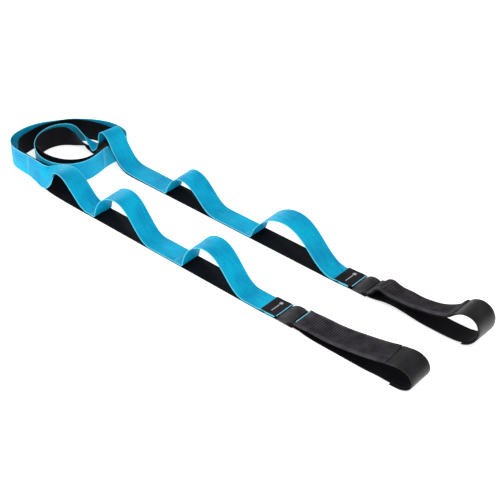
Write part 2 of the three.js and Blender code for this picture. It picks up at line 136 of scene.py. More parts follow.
# The loops beside the coil follow routes of their own, given like the base
TWISTED_LOOPS = {
    3: [
        (-381, -63, 3, 0), (-393, -63, 9.5, 0), (-403, -63, 19, 0), (-414, -63, 30, 0),
        (-425, -63, 40.5, -4), (-438, -63, 47, -6), (-450, -63, 46.5, -5),
        (-461, -64, 39, 2), (-469, -67, 26, 18), (-477, -70, 13, 38),
        (-485, -71.5, 4, 56), (-495, -71.5, 0.6, 68), (-510, -70, 0.4, 77),
    ],
    8: [
        (-484, 63, 45, 0), (-482, 63, 52, 0), (-476, 63, 56.2, 5), (-468, 63, 54.8, 5),
        (-459, 63, 47.5, 3), (-453, 63, 38.5, 0), (-448, 63, 30, 0), (-441, 63, 21, 0),
        (-433, 63, 12, 0), (-421, 63, 5, 0), (-405, 63, 2.5, 0),
    ],
}
# How far the slack of the coiled loops stands off the base
COIL_BULGE = {4: 15, 5: 12, 6: 14, 7: 11}

# Handle webbing: out from the label, height over the floor, roll in degrees. Roll
# lifts the edge that faces -Y.
HANDLE_LOOP = {
    "near": [
        (61, 9, 0), (72, 9, 0), (88, 10.4, 0), (122, 11.8, -2), (160, 17.8, -4),
        (198, 26, -5), (226, 34, -5), (243, 36.2, -5), (255, 31.5, -4), (260, 22, -2),
        (257, 11.8, 0), (247, 5.1, 0), (232, 3.1, 0), (206, 2.9, 0), (186, 1.3, 0),
        (150, 1.1, 0), (100, 1.1, 0), (84, 2, 0), (72, 4, 0), (61, 4.6, 0),
    ],
    "far": [
        (61, 7.4, 0), (68, 11.5, 5), (74, 18.5, 9), (80, 21.5, 11), (87, 20, 12),
        (98, 17.6, 12), (115, 18, 12), (132, 17.8, 14), (150, 20.5, 15), (166, 24, 14),
        (183, 30.3, 10), (196, 37.5, 5), (205, 47, 1), (215, 54.5, -1), (227, 57, -2),
        (238, 53, -1), (244, 44, 0), (244.5, 33, 2), (240, 21, 4), (230, 11, 5),
        (216, 6, 5), (198, 4.6, 4), (172, 4.4, 4), (152, 4.6, 5), (128, 6.5, 8),
        (108, 7.5, 10), (90, 7, 8), (75, 5, 4), (61, 4.2, 0),
    ],
}
HANDLE_THICK = 2
GRIP_THICK = 3.5
GRIP_LENGTH = 160
GRIP_WIDTH = 40.6
WRAP_THICK = 1.5
WRAP_LENGTH = 92
WRAP_WIDTH = 41.6

# Fineness of the curves and meshes
SPAN_SAMPLES = 48
ARCH_SAMPLES = 40
FOLD_SAMPLES = 9
STEP = 2.0
FINE_STEPS = 4
FOLD_SOFTNESS = 2.0
SOFTENING_REACH = 3
TANGENT_REACH = 0.5
TOO_SHORT = 1e-4
SAME_PLACE = 1e-6


# ---------------------------------------------------------------- curves


def unit(vectors):
    return vectors / np.linalg.norm(vectors, axis=-1, keepdims=True)


def spline(points):
    """A centripetal Catmull-Rom curve through the points, finely sampled."""
    p = np.asarray(points, float)
    padded = np.vstack([2 * p[0] - p[1], p, 2 * p[-1] - p[-2]])
    steps = np.sqrt(np.linalg.norm(np.diff(padded, axis=0), axis=1))
    t = np.linspace(0, 1, SPAN_SAMPLES, endpoint=False)[:, None]
    out = []
    for i in range(len(p) - 1):
        before, here, after, beyond = padded[i : i + 4]
        middle = steps[i + 1] if steps[i + 1] > TOO_SHORT else 1.0
        first = steps[i] if steps[i] > TOO_SHORT else middle
        last = steps[i + 2] if steps[i + 2] > TOO_SHORT else middle
        leave = ((here - before) / first - (after - before) / (first + middle)) * middle
        leave = leave + (after - here)
        arrive = ((beyond - after) / last - (beyond - here) / (middle + last)) * middle
        arrive = arrive + (after - here)
        bend = -3 * here + 3 * after - 2 * leave - arrive
        swing = 2 * here - 2 * after + leave + arrive
        out.append(here + leave * t + bend * t**2 + swing * t**3)
    return np.vstack([*out, p[-1:]])


def lengths_along(points):
    return np.concatenate([[0], np.cumsum(np.linalg.norm(np.diff(points, axis=0), axis=1))])


def sample(at, lengths, values):
    return np.stack([np.interp(at, lengths, column) for column in values.T], axis=-1)


class Route:
    """A strap's middle line with its tilt, sampled along its length."""

    def __init__(self, points):
        rows = []
        for x, y, lift, tilt in points:
            turn = math.radians(tilt)
            z = lift + WIDTH / 2 * math.sin(turn) + BASE_THICK / 2 * math.cos(turn)
            rows.append((x, y, z))
        self.middle = spline(rows)
        self.tilt = spline([(tilt, 0, 0) for *_, tilt in points])[:, :1]
        self.lengths = lengths_along(self.middle)
        self.length = self.lengths[-1]

    def frames(self, at):
        """Centre, across and off directions at distances along the route."""
        at = np.clip(np.asarray(at, float), 0, self.length)
        centre = sample(at, self.lengths, self.middle)
        ahead = sample(np.clip(at + TANGENT_REACH, 0, self.length), self.lengths, self.middle)
        behind = sample(np.clip(at - TANGENT_REACH, 0, self.length), self.lengths, self.middle)
        along = unit(ahead - behind)
        side = unit(np.cross(along, UP))
        rise = np.cross(side, along)
        tilt = np.radians(sample(at, self.lengths, self.tilt))
        across = side * np.cos(tilt) + rise * np.sin(tilt)
        return centre, across, np.cross(across, along)


BASE = Route(BASE_ROUTE)
NEAR_LABEL_AT = KEEPER_END
FAR_LABEL_AT = BASE.length - KEEPER_END
SEAMS = {1: NEAR_LABEL_AT + LABEL_TO_SEAM, 9: FAR_LABEL_AT - LABEL_TO_SEAM}
SEAMS[2] = SEAMS[1] + PITCH
SEAMS[8] = SEAMS[9] - PITCH
# The seams in the coil share its length evenly
for _number in range(3, 8):
    SEAMS[_number] = SEAMS[2] + (SEAMS[8] - SEAMS[2]) * (_number - 2) / (8 - 2)


def bezier(a, b, c, d):
    t = np.linspace(0, 1, ARCH_SAMPLES)[:, None]
    a, b, c, d = (np.array(point, float) for point in (a, b, c, d))
    return a * (1 - t) ** 3 + 3 * b * t * (1 - t) ** 2 + 3 * c * t**2 * (1 - t) + d * t**3


def arch(lift, crest, height, land, steep):
    """A raised loop seen from the side, as (distance from the seam, height)."""
    left, right = crest - lift, land - crest
    rising = bezier((lift, 0), (lift + ARCH_RISE * left, steep * height),
                    (crest - ARCH_LEFT * left, height), (crest, height))
    falling = bezier((crest, height), (crest + ARCH_RIGHT * right, height),
                     (land - ARCH_LANDING * right, 0), (land, 0))
    return np.vstack([rising, falling[1:]])


def fold(landed):
    """The loop webbing's end under the label, doubled back beneath itself."""
    turn = np.linspace(0, math.pi, FOLD_SAMPLES)
    radius = FOLD_LIFT / 2
    start = LABEL_TO_SEAM + TAIL_RISE[0]
    out = LABEL_TO_SEAM + FOLD_OUT
    ramp = max(start - FOLD_RAMP, landed + FOLD_AFTER_LANDING)
    bend = np.stack([out + radius * np.sin(turn), radius * (1 + np.cos(turn))], axis=1)
    return np.vstack([[(ramp, 0), (start, FOLD_LIFT)], bend, [(start + FOLD_BACK, 0)]])


def on_base(distances, heights, leans):
    """Centres and across directions this high over the base, leaning this many degrees."""
    centre, across, off = BASE.frames(distances)
    slope = np.tan(np.radians(leans))[:, None]
    return centre + off * np.asarray(heights)[:, None], unit(across - off * slope)


def loop_line(number):
    """Centres and across directions of one loop, from the near end to the far end."""
    if number in TWISTED_LOOPS:
        own = Route(TWISTED_LOOPS[number])
        centre, across, _ = own.frames(np.arange(0, own.length, STEP))
        seams = [SEAMS[number - 1], SEAMS[number]]
        ends, end_across = on_base(np.array(seams), [LOOP_REST] * 2, [0, 0])
        centres = np.vstack([ends[:1], centre, ends[1:]])
        return centres, np.vstack([end_across[:1], across, end_across[1:]])
    if number in ARCHES:
        towards_coil = number <= LOOP_COUNT / 2
        seam = SEAMS[number if towards_coil else number - 1]
        stations = np.vstack([[(0, 0)], arch(*ARCHES[number])])
        tail = fold(ARCHES[number][3]) if number in (1, LOOP_COUNT) else [(PITCH, 0)]
        stations = np.vstack([stations, tail])
        direction = -1 if towards_coil else 1
        lean = direction * ARCH_LEAN * np.clip(stations[:, 1] / ARCHES[number][2], 0, 1)
        at, height = seam + direction * stations[:, 0], stations[:, 1] + LOOP_REST
        if towards_coil:
            at, height, lean = at[::-1], height[::-1], lean[::-1]
        return on_base(at, height, lean)
    at = np.arange(SEAMS[number - 1], SEAMS[number], STEP)
    phase = (at - at[0]) / (SEAMS[number] - at[0]) * math.pi
    return on_base(at, LOOP_REST + COIL_BULGE[number] * np.sin(phase) ** 2, np.zeros(len(at)))


def even_line(centres, acrosses, softness):
    """The same line in even steps, with its folds softened."""
    lengths = lengths_along(centres)
    keep = np.concatenate([[True], np.diff(lengths) > SAME_PLACE])
    fine_step = STEP / FINE_STEPS
    fine = np.arange(0, lengths[-1], fine_step)
    centre = sample(fine, lengths[keep], centres[keep])
    across = sample(fine, lengths[keep], acrosses[keep])
    reach = int(SOFTENING_REACH * softness / fine_step)
    weights = np.exp(-0.5 * (np.arange(-reach, reach + 1) * fine_step / softness) ** 2)
    weights /= weights.sum()
    soft = []
    for values in (centre, across):
        wide = np.vstack([values[:1]] * reach + [values] + [values[-1:]] * reach)
        soft.append(np.stack([np.convolve(c, weights, "valid") for c in wide.T], axis=1))
    return soft[0][::FINE_STEPS], unit(soft[1][::FINE_STEPS])


# ---------------------------------------------------------------- into the row frame

_low, _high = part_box("keeper_near")
SHIFT = np.array([
    _low.x - MM * (LABEL_X["near"] + KEEPER_START["near"]),
    (_low.y + _high.y) / 2 - MM * RUN_Y["near"],
    _low.z,
])


def to_frame(points):
    return np.asarray(points, float) * MM + SHIFT


# ---------------------------------------------------------------- meshes

# A face with more sides than this closes the end of a ribbon
CAP_SIDES = 6


def sharpen_caps(mesh):
    """Keeps the many-sided end faces from bending the shading of the sides."""
    caps = {key for face in mesh.polygons if len(face.vertices) > CAP_SIDES for key in face.edge_keys}
    for edge in mesh.edges:
        edge.use_edge_sharp = tuple(sorted(edge.vertices)) in caps


def make_object(name, verts, faces, material, uvs=None):
    mesh = bpy.data.meshes.new(name)
    mesh.from_pydata([tuple(v) for v in verts], [], faces)
    if uvs is not None:
        layer = mesh.uv_layers.new(name="weave")
        per_corner = np.array([uvs[loop.vertex_index] for loop in mesh.loops])
        layer.data.foreach_set("uv", per_corner.ravel())
    tidy = bmesh.new()
    tidy.from_mesh(mesh)
    bmesh.ops.recalc_face_normals(tidy, faces=tidy.faces)
    tidy.to_mesh(mesh)
    tidy.free()
    mesh.shade_smooth()
    sharpen_caps(mesh)
    mesh.materials.append(material)
    obj = bpy.data.objects.new(name, mesh)
    bpy.context.scene.collection.objects.link(obj)
    return obj


def tube_faces(count, size):
    """The side faces of a tube made of this many rings of this many points."""
    return [
        (i * size + j, i * size + (j + 1) % size, (i + 1) * size + (j + 1) % size, (i + 1) * size + j)
        for i in range(count - 1) for j in range(size)
    ]


def end_faces(count, size):
    """The two faces that close such a tube."""
    return [tuple(range(size)), tuple((count - 1) * size + j for j in range(size))]


def loft(centres, acrosses, distances, rings):
    """Skins a closed ring of (across, off) points along a line. rings may vary by station."""
    along = unit(np.gradient(centres, axis=0))
    across = unit(acrosses - along * np.sum(acrosses * along, axis=1, keepdims=True))
    off = np.cross(across, along)
    count, size = rings.shape[:2]
    verts = centres[:, None] + across[:, None] * rings[..., :1] + off[:, None] * rings[..., 1:]
    faces = tube_faces(count, size) + end_faces(count, size)
    uvs = np.stack([np.repeat(distances, size), rings[..., 0].ravel()], axis=1) * MM
    return to_frame(verts.reshape(-1, 3)), faces, uvs


# The tight woven edge of the webbing
SELVEDGE = 2.0
SELVEDGE_RAISE = 0.12
SELVEDGE_CREST = 1.2
SELVEDGE_SLOPE = 0.5
# Share of the raise left at the inner side of the woven edge
SELVEDGE_FOOT = 0.6
# Places of the points across the flat, as shares of the half width
FLAT_SHARES = (0.6, 0.3)


def webbing_ring(width, thick):
    """A webbing's cross-section: flat, with a raised woven edge and rounded sides."""
    half, r = width / 2, thick / 2
    inner = half - SELVEDGE
    flat = [half - r, half - SELVEDGE_CREST, inner, inner - SELVEDGE_SLOPE,
            *[half * share for share in FLAT_SHARES], 0]
    raise_by = [SELVEDGE_RAISE, SELVEDGE_RAISE, SELVEDGE_FOOT * SELVEDGE_RAISE, 0, 0, 0, 0]
    right = [(v, r - SELVEDGE_RAISE + up) for v, up in zip(flat, raise_by)]
    left = [(-v, w) for v, w in reversed(right[:-1])]
    side = [(half - r + r * math.cos(a), r * math.sin(a)) for a in (-math.pi / 4, 0, math.pi / 4)]
    top = right + left
    under = [(-v, -w) for v, w in top]
    other = [(-v, -w) for v, w in side]
    return np.array(top + other + under + side)


def ribbon(name, centres, acrosses, distances, width, thick, material):
    ring = webbing_ring(width, thick)
    rings = np.broadcast_to(ring, (len(centres), *ring.shape))
    verts, faces, uvs = loft(centres, acrosses, distances, rings)
    return make_object(name, verts, faces, material, uvs)


# ---------------------------------------------------------------- materials


class Nodes:
    """Short ways to add and join shader nodes."""

    def __init__(self, name):
        self.material = bpy.data.materials.new(name)
        self.material.use_nodes = True
        self.tree = self.material.node_tree
        self.shader = self.tree.nodes["Principled BSDF"]

    def add(self, kind, **settings):
        node = self.tree.nodes.new(kind)
        for key, value in settings.items():
            setattr(node, key, value)
        return node

    def join(self, source, target):
        self.tree.links.new(source, target)

    def put(self, value, socket):
        if isinstance(value, bpy.types.NodeSocket):
            self.join(value, socket)
        else:
            socket.default_value = value

    def math(self, operation, a, b=0.0, c=0.0):
        node = self.add("ShaderNodeMath", operation=operation)
        for value, socket in zip((a, b, c), node.inputs):
            self.put(value, socket)
        return node.outputs[0]

    def mix(self, share, a, b):
        node = self.add("ShaderNodeMix", data_type="RGBA")
        self.put(share, node.inputs[0])
        self.put(a, node.inputs[6])
        self.put(b, node.inputs[7])
        return node.outputs[2]

    def ramp(self, value, low, high):
        node = self.add("ShaderNodeMapRange", interpolation_type="SMOOTHSTEP")
        self.put(value, node.inputs[0])
        node.inputs[1].default_value = low
        node.inputs[2].default_value = high
        return node.outputs[0]

    def noise(self, vector, detail, scale=1.0):
        node = self.add("ShaderNodeTexNoise")
        self.join(vector, node.inputs["Vector"])
        node.inputs["Scale"].default_value = scale
        node.inputs["Detail"].default_value = detail
        return node.outputs["Fac"]

    def along_across(self):
        """Distance along and place across the webbing, in metres."""
        uv = self.add("ShaderNodeUVMap", uv_map="weave")
        split = self.add("ShaderNodeSeparateXYZ")
        self.join(uv.outputs[0], split.inputs[0])
        return uv.outputs[0], split.outputs[0], split.outputs[1]

    def wave(self, value, pitch_mm, shift=0.0):
        """A sine between 0 and 1, with a pitch in millimetres."""
        turned = self.math("MULTIPLY_ADD", value, 2 * math.pi / (pitch_mm * MM), shift)
        return self.math("MULTIPLY_ADD", self.math("SINE", turned), 0.5, 0.5)

    def stretched(self, vector, x, y):
        node = self.add("ShaderNodeMapping")
        self.join(vector, node.inputs["Vector"])
        node.inputs["Scale"].default_value = (x, y, 1)
        return node.outputs[0]

    def bump(self, height, distance_mm, strength):
        node = self.add("ShaderNodeBump")
        self.join(height, node.inputs["Height"])
        node.inputs["Distance"].default_value = distance_mm * MM
        node.inputs["Strength"].default_value = strength
        self.join(node.outputs[0], self.shader.inputs["Normal"])


def rgb(red, green, blue):
    """Linear colour from 0-255 sRGB."""
    values = [v / 255 for v in (red, green, blue)]
    return (*[((v + 0.055) / 1.055) ** 2.4 if v > 0.04045 else v / 12.92 for v in values], 1)


# Share of the weave's relief that comes from the ribs across the webbing
RIB_SHARE = 0.7
# Noise scales along and across the webbing, per metre
THREAD_STREAKS = (40, 900)
CLOTH_CLOUDS = (28, 28)
# Noise values between which the darker tone comes in
WORN_TONES = (0.62, 0.36)
# Distances from the edge, where the woven edge and the groove beside it begin and end
SELVEDGE_CREST_AT = 1.1
GROOVE_INNER = (3.2, 2.4)
GROOVE_OUTER = (1.7, 2.2)
# How much painted shade darkens the grooves beside the woven edges
GROOVE_SHADE = 0.55
EDGE_TINT = 0.7
EDGE_RELIEF = 0.6
WEAVE_RELIEF_MM = 0.22
STREAK_ROUGHNESS = 0.16


def webbing_material(name, body, shade_and_worn_tone, edge, rib_mm, thread_mm, rough, shine, rib_valley_shade):
    """Woven webbing: ribs across it, warp threads along it and a tight woven edge, with painted shade in
    the rib valleys and beside the edges.
    """
    n = Nodes(name)
    uv, along, across = n.along_across()
    ribs = n.wave(along, rib_mm)
    threads = n.wave(across, thread_mm)
    crossed = n.wave(along, rib_mm / 2, math.pi / 2)
    crossings = n.math("MULTIPLY", threads, crossed)
    weave = n.math("MULTIPLY_ADD", ribs, RIB_SHARE, n.math("MULTIPLY", crossings, 1 - RIB_SHARE))
    streaks = n.noise(n.stretched(uv, *THREAD_STREAKS), detail=3.0)
    clouds = n.noise(n.stretched(uv, *CLOTH_CLOUDS), detail=2.0)
    from_edge = n.math("SUBTRACT", WIDTH / 2 * MM, n.math("ABSOLUTE", across))
    at_edge = n.ramp(from_edge, SELVEDGE * MM, SELVEDGE_CREST_AT * MM)
    falls = n.ramp(from_edge, GROOVE_INNER[0] * MM, GROOVE_INNER[1] * MM)
    rises = n.ramp(from_edge, GROOVE_OUTER[0] * MM, GROOVE_OUTER[1] * MM)
    painted_groove_shade = n.math("MULTIPLY", falls, rises)
    tone = n.math("MULTIPLY_ADD", streaks, 0.5, n.math("MULTIPLY", clouds, 0.5))
    # Painted shade: the valleys between the ribs are darkened.
    colour = n.mix(n.math("MULTIPLY", n.math("SUBTRACT", 1.0, weave), rib_valley_shade), body, shade_and_worn_tone)
    colour = n.mix(n.ramp(tone, *WORN_TONES), colour, shade_and_worn_tone)
    # Painted shade darkens the grooves beside the woven edges.
    colour = n.mix(n.math("MULTIPLY", painted_groove_shade, GROOVE_SHADE), colour, shade_and_worn_tone)
    colour = n.mix(n.math("MULTIPLY", at_edge, EDGE_TINT), colour, edge)
    n.put(colour, n.shader.inputs["Base Color"])
    n.put(n.math("MULTIPLY_ADD", streaks, STREAK_ROUGHNESS, rough), n.shader.inputs["Roughness"])
    n.shader.inputs["Specular IOR Level"].default_value = shine
    n.bump(n.math("MULTIPLY_ADD", at_edge, EDGE_RELIEF, weave), WEAVE_RELIEF_MM, strength=0.7)
    return n.material


BLUE = webbing_material("blue_webbing", rgb(0, 192, 230), rgb(0, 148, 196), rgb(100, 218, 240),
                        rib_mm=2.4, thread_mm=1.1, rough=0.36, shine=0.12, rib_valley_shade=0.45)
BLACK = webbing_material("black_webbing", rgb(24, 24, 29), rgb(9, 9, 12), rgb(20, 20, 24),
                         rib_mm=2.0, thread_mm=1.2, rough=0.6, shine=0.08, rib_valley_shade=0.7)


SATIN_STREAKS = (60, 500)
SATIN_CLOUDS = (60, 45)
SATIN_TONES = (0.62, 0.38)
TWILL_TINT = 0.35
SATIN_ROUGHNESS = 0.25
TWILL_RELIEF_MM = 0.08


def satin_material(name, body, dark, rough, shine, fine_mm):
    """Smooth tightly woven tape with a fine twill and soft streaks."""
    n = Nodes(name)
    uv, along, across = n.along_across()
    twill = n.wave(n.math("ADD", along, across), fine_mm)
    streaks = n.noise(n.stretched(uv, *SATIN_STREAKS), detail=4.0)
    clouds = n.noise(n.stretched(uv, *SATIN_CLOUDS), detail=2.0)
    colour = n.mix(n.math("MULTIPLY", twill, TWILL_TINT), body, dark)
    colour = n.mix(n.ramp(clouds, *SATIN_TONES), colour, dark)
    n.put(colour, n.shader.inputs["Base Color"])
    n.put(n.math("MULTIPLY_ADD", streaks, SATIN_ROUGHNESS, rough), n.shader.inputs["Roughness"])
    n.shader.inputs["Specular IOR Level"].default_value = shine
    n.bump(n.math("ADD", twill, streaks), TWILL_RELIEF_MM, strength=0.5)
    return n.material


SATIN = satin_material("satin_binding", rgb(26, 23, 27), rgb(10, 9, 11),
                       rough=0.26, shine=0.34, fine_mm=0.9)
ELASTIC = satin_material("keeper_elastic", rgb(44, 42, 46), rgb(22, 21, 24),
                         rough=0.42, shine=0.3, fine_mm=1.2)
LABEL_CLOTH = satin_material("label_cloth", rgb(22, 20, 26), rgb(9, 8, 11),
                             rough=0.5, shine=0.2, fine_mm=0.7)


# Ribs of the grip cushions, and the finish of their fabric
RIB_PITCH = 3.7
RIB_DEPTH = 0.9
RIB_MARGIN = 4.0
RIB_START = 8
RIB_LEAD = 8
RIBS_FADE_IN = (RIB_MARGIN - 1.5, RIB_MARGIN + 2)
GROOVE_SHARPNESS = 1.6
GRAIN = (900, 900)
GRIP_CLOUDS = (50, 50)
GRIP_TONES = (0.65, 0.35)
GRIP_MESH_PITCH = 0.85
GRAIN_ROUGHNESS = 0.2
GRIP_RELIEF_MM = 0.15


def grip_material():
    """Moulded cushion fabric: fine grain, with painted shade in the grooves between its ribs."""
    n = Nodes("grip_pad")
    uv, along, across = n.along_across()
    painted_groove_shade = n.math("POWER", n.wave(along, RIB_PITCH, -math.pi / 2), GROOVE_SHARPNESS)
    from_edge = n.math("SUBTRACT", GRIP_WIDTH / 2 * MM, n.math("ABSOLUTE", across))
    from_margin = n.ramp(from_edge, RIBS_FADE_IN[0] * MM, RIBS_FADE_IN[1] * MM)
    from_start = n.ramp(along, RIB_START * MM, (RIB_START + RIB_LEAD) * MM)
    in_ribs = n.math("MULTIPLY", from_margin, from_start)
    grain = n.noise(n.stretched(uv, *GRAIN), detail=2.0)
    clouds = n.noise(n.stretched(uv, *GRIP_CLOUDS), detail=2.0)
    mesh = n.math("MULTIPLY", n.wave(along, GRIP_MESH_PITCH), n.wave(across, GRIP_MESH_PITCH))
    colour = n.mix(mesh, rgb(72, 69, 75), rgb(52, 50, 55))
    colour = n.mix(n.ramp(clouds, *GRIP_TONES), colour, rgb(46, 44, 49))
    # Painted shade: the grooves between the ribs are darkened.
    colour = n.mix(n.math("MULTIPLY", painted_groove_shade, in_ribs), colour, rgb(18, 17, 20))
    n.put(colour, n.shader.inputs["Base Color"])
    n.put(n.math("MULTIPLY_ADD", grain, GRAIN_ROUGHNESS, 0.6), n.shader.inputs["Roughness"])
    n.shader.inputs["Specular IOR Level"].default_value = 0.12
    n.bump(n.math("ADD", mesh, grain), GRIP_RELIEF_MM, strength=0.6)
    return n.material


GRIP = grip_material()


TWIST_SCALE = 3500
TWIST_TONES = (0.4, 0.6)
TWIST_ROUGHNESS = 0.2
TWIST_RELIEF_MM = 0.1


def thread_material(name, body, dark):
    """Twisted sewing thread."""
    n = Nodes(name)
    place = n.add("ShaderNodeTexCoord").outputs["Object"]
    twist = n.noise(place, detail=1.0, scale=TWIST_SCALE)
    n.put(n.mix(n.ramp(twist, *TWIST_TONES), dark, body), n.shader.inputs["Base Color"])
    n.put(n.math("MULTIPLY_ADD", twist, TWIST_ROUGHNESS, 0.4), n.shader.inputs["Roughness"])
    n.shader.inputs["Sheen Weight"].default_value = 0.2
    n.bump(twist, TWIST_RELIEF_MM, strength=0.5)
    return n.material


THREAD = thread_material("pale_blue_thread", rgb(130, 216, 234), rgb(84, 184, 208))
SEAM_THREAD = thread_material("blue_thread", rgb(165, 232, 246), rgb(110, 208, 232))
WHITE_THREAD = thread_material("white_thread", rgb(225, 220, 228), rgb(180, 174, 186))


# ---------------------------------------------------------------- base and loop webbing


def piece(obj, bodies, nodes):
    """Says which bodies a ribbon follows and what it stands for."""
    if len(bodies) == 1:
        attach(obj, bodies[0])
    else:
        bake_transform(obj)
    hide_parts(*nodes)


def numbered(stem, numbers):
    return [f"{stem}_{number:02d}" for number in numbers]


# name, bodies, the seam it bends at, side, the CAD loops it stands for
SECTIONS = [
    ("near_end", ["near_end"], None, "near", [1]),
    ("near_seam_1", ["near_end", "near_mid"], 1, "near", [1, 2]),
    ("near_seam_2", ["near_mid", "coil"], 2, "near", [2, 3]),
    ("coil", ["coil"], None, "near", [3, 4, 5, 6, 7, 8]),
    ("far_seam_8", ["far_mid", "coil"], 8, "far", [8, 9]),
    ("far_seam_9", ["far_end", "far_mid"], 9, "far", [9, 10]),
    ("far_end", ["far_end"], None, "far", [10]),
]


# Where the base's coiled section starts and ends, short of the twists
CUT_PAST_SEAM_2 = 30
CUT_BEFORE_SEAM_8 = 60


def build_base():
    """The base webbing, cut between its seams where it lies straight."""
    half = PITCH / 2
    middles = [SEAMS[1] - half, SEAMS[1] + half, SEAMS[2] + CUT_PAST_SEAM_2,
               SEAMS[8] - CUT_BEFORE_SEAM_8, SEAMS[8] + half, SEAMS[9] + half]
    cuts = [0, *middles, BASE.length]
    for (name, bodies, seam, side, loops), start, end in zip(SECTIONS, cuts, cuts[1:]):
        at = np.linspace(start, end, int((end - start) / STEP) + 2)
        centre, across, _ = BASE.frames(at)
        obj = ribbon(f"base_{name}", centre, across, at, WIDTH, BASE_THICK, BLACK)
        piece(obj, bodies, numbered("base_webbing", loops))


# The loops whose crests divide the loop webbing into its sections
CUT_LOOPS = (1, 2, 3, 8, 9, 10)


def build_loops():
    """The loop webbing, cut at its crests, which stay on one body each."""
    lines = [loop_line(number) for number in range(1, LOOP_COUNT + 1)]
    crests = []
    centres = np.vstack([line[0] for line in lines])
    acrosses = np.vstack([line[1] for line in lines])
    centre, across = even_line(centres, acrosses, FOLD_SOFTNESS)
    at = np.arange(len(centre)) * STEP
    for number in CUT_LOOPS:
        own = lines[number - 1][0]
        top = own[np.argmax(own[:, 2])]
        crests.append(int(np.argmin(np.linalg.norm(centre - top, axis=1))))
    cuts = [0, *crests, len(centre) - 1]
    for (name, bodies, seam, side, loops), start, end in zip(SECTIONS, cuts, cuts[1:]):
        part = slice(start, end + 1)
        obj = ribbon(f"loops_{name}", centre[part], across[part], at[part], WIDTH, LOOP_THICK, BLUE)
        piece(obj, bodies, numbered("loop_webbing", loops))


build_base()
build_loops()

# ---------------------------------------------------------------- stitches


STITCH_SIDES = 6
STITCH_RINGS = 5
STITCH_ARCH = 1.1
STITCH_TAPER = 0.92


def stitch_mesh(centre, direction, normal, length, radius):
    """One thread stitch: a short arched capsule lying on the cloth."""
    sides, rings = STITCH_SIDES, STITCH_RINGS
    third = np.cross(direction, normal)
    verts = []
    for i in range(rings):
        t = i / (rings - 1) * 2 - 1
        middle = centre + direction * t * length / 2 + normal * radius * STITCH_ARCH * (1 - t * t)
        thin = radius * math.sqrt(1 - (STITCH_TAPER * t) ** 4)
        for j in range(sides):
            turn = 2 * math.pi * j / sides
            verts.append(middle + normal * thin * math.sin(turn) + third * thin * math.cos(turn))
    return verts, tube_faces(rings, sides) + end_faces(rings, sides)


def stitches(name, spots, length, radius, material):
    """Many stitches as one object. Each spot is a centre, direction and normal."""
    verts, faces = [], []
    for centre, direction, normal in spots:
        own, quads = stitch_mesh(centre, direction, normal, length, radius)
        faces += [tuple(len(verts) + k for k in face) for face in quads]
        verts += own
    return make_object(name, to_frame(verts), faces, material)


SEAM_ROW_GAP = 3.0
SEAM_TO_STITCH = 5
SEAM_HALF = 16
SEAM_STITCH_LENGTH = 2.3
SEAM_THREAD_RADIUS = 0.38
STITCH_PITCH = 2.6


# Lets a row keep a last stitch that lands on its end
ROW_SLACK = 0.1


def centred_places(half, pitch):
    """Places from -half to half, a pitch apart."""
    return np.arange(-half, half + ROW_SLACK, pitch)


def seam_spots(number):
    """Two rows of stitches across the loop webbing beside a seam."""
    towards_coil = 1 if number <= LOOP_COUNT / 2 else -1
    top = LOOP_REST + LOOP_THICK / 2
    spots = []
    for row in (-0.5, 0.5):
        at = SEAMS[number] + towards_coil * (SEAM_TO_STITCH + row * SEAM_ROW_GAP)
        (centre,), (across,), (off,) = BASE.frames([at])
        for place in centred_places(SEAM_HALF, STITCH_PITCH):
            spots.append((centre + off * top + across * place, across, off))
    return spots


SEAM_BODY = {1: "near_mid", 9: "far_mid"}
for _number in range(1, LOOP_COUNT):
    _obj = stitches(f"seam_thread_{_number:02d}", seam_spots(_number),
                    SEAM_STITCH_LENGTH, SEAM_THREAD_RADIUS, SEAM_THREAD)
    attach(_obj, SEAM_BODY.get(_number, "coil"))
    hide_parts(f"seam_stitch_{_number:02d}")

# ---------------------------------------------------------------- ends


def end_frames(end, outs):
    """Frames on the base at distances out from the label, all facing the handle."""
    outs = np.asarray(outs, float)
    at = NEAR_LABEL_AT - outs if end == "near" else FAR_LABEL_AT + outs
    return BASE.frames(at)


LABEL_THICK = 0.8
LABEL_WIDTH = 37.4
LABEL_CORNER = 0.5
LABEL_STATIONS = 20
LABEL_POINTS = 9
LABEL_RIPPLE = 0.12
LABEL_RIPPLE_LENGTH = 3.1
LABEL_SPAN = {"near": (0, 30.6), "far": (0, 34.1)}
LABEL_TO_BAR = {"near": 29.0, "far": 32.5}
LABEL_REST = LOOP_REST + FOLD_LIFT + (LOOP_THICK + LABEL_THICK) / 2 + LAYER_GAP


# Rounding of a flat tape's edge: how far in it starts, at a share of the half thickness
EDGE_INSET = 0.15
LABEL_EDGE_SHARE = 0.8


def rounded_edge(half, r, share):
    """The three points that close one edge of a flat tape's cross-section."""
    shoulder = -half + EDGE_INSET
    return [(shoulder, r * share), (-half, 0), (shoulder, -r * share)]


def plate_ring(width, thick, corner):
    """A soft-edged flat cross-section."""
    half, r = width / 2, thick / 2
    flat = np.linspace(half - corner, -half + corner, LABEL_POINTS)
    top = [(v, r) for v in flat]
    side = rounded_edge(half, r, LABEL_EDGE_SHARE)
    under = [(-v, -w) for v, w in top]
    return np.array(top + side + under + [(-v, -w) for v, w in side])


def build_label(end):
    outs = np.linspace(*LABEL_SPAN[end], LABEL_STATIONS)
    centre, across, off = end_frames(end, outs)
    wave = LABEL_RIPPLE * np.sin(outs / LABEL_RIPPLE_LENGTH)
    centre = centre + off * (LABEL_REST + wave)[:, None]
    ring = plate_ring(LABEL_WIDTH, LABEL_THICK, LABEL_CORNER)
    rings = np.broadcast_to(ring, (len(outs), *ring.shape))
    verts, faces, uvs = loft(centre, across, outs, rings)
    obj = make_object(f"label_cloth_{end}", verts, faces, LABEL_CLOTH, uvs)
    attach(obj, f"{end}_end")
    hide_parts(f"label_{end}")


def towards_far(end):
    """The frame's across direction flips between the two ends; this turns it to +Y."""
    return 1 if end == "near" else -1


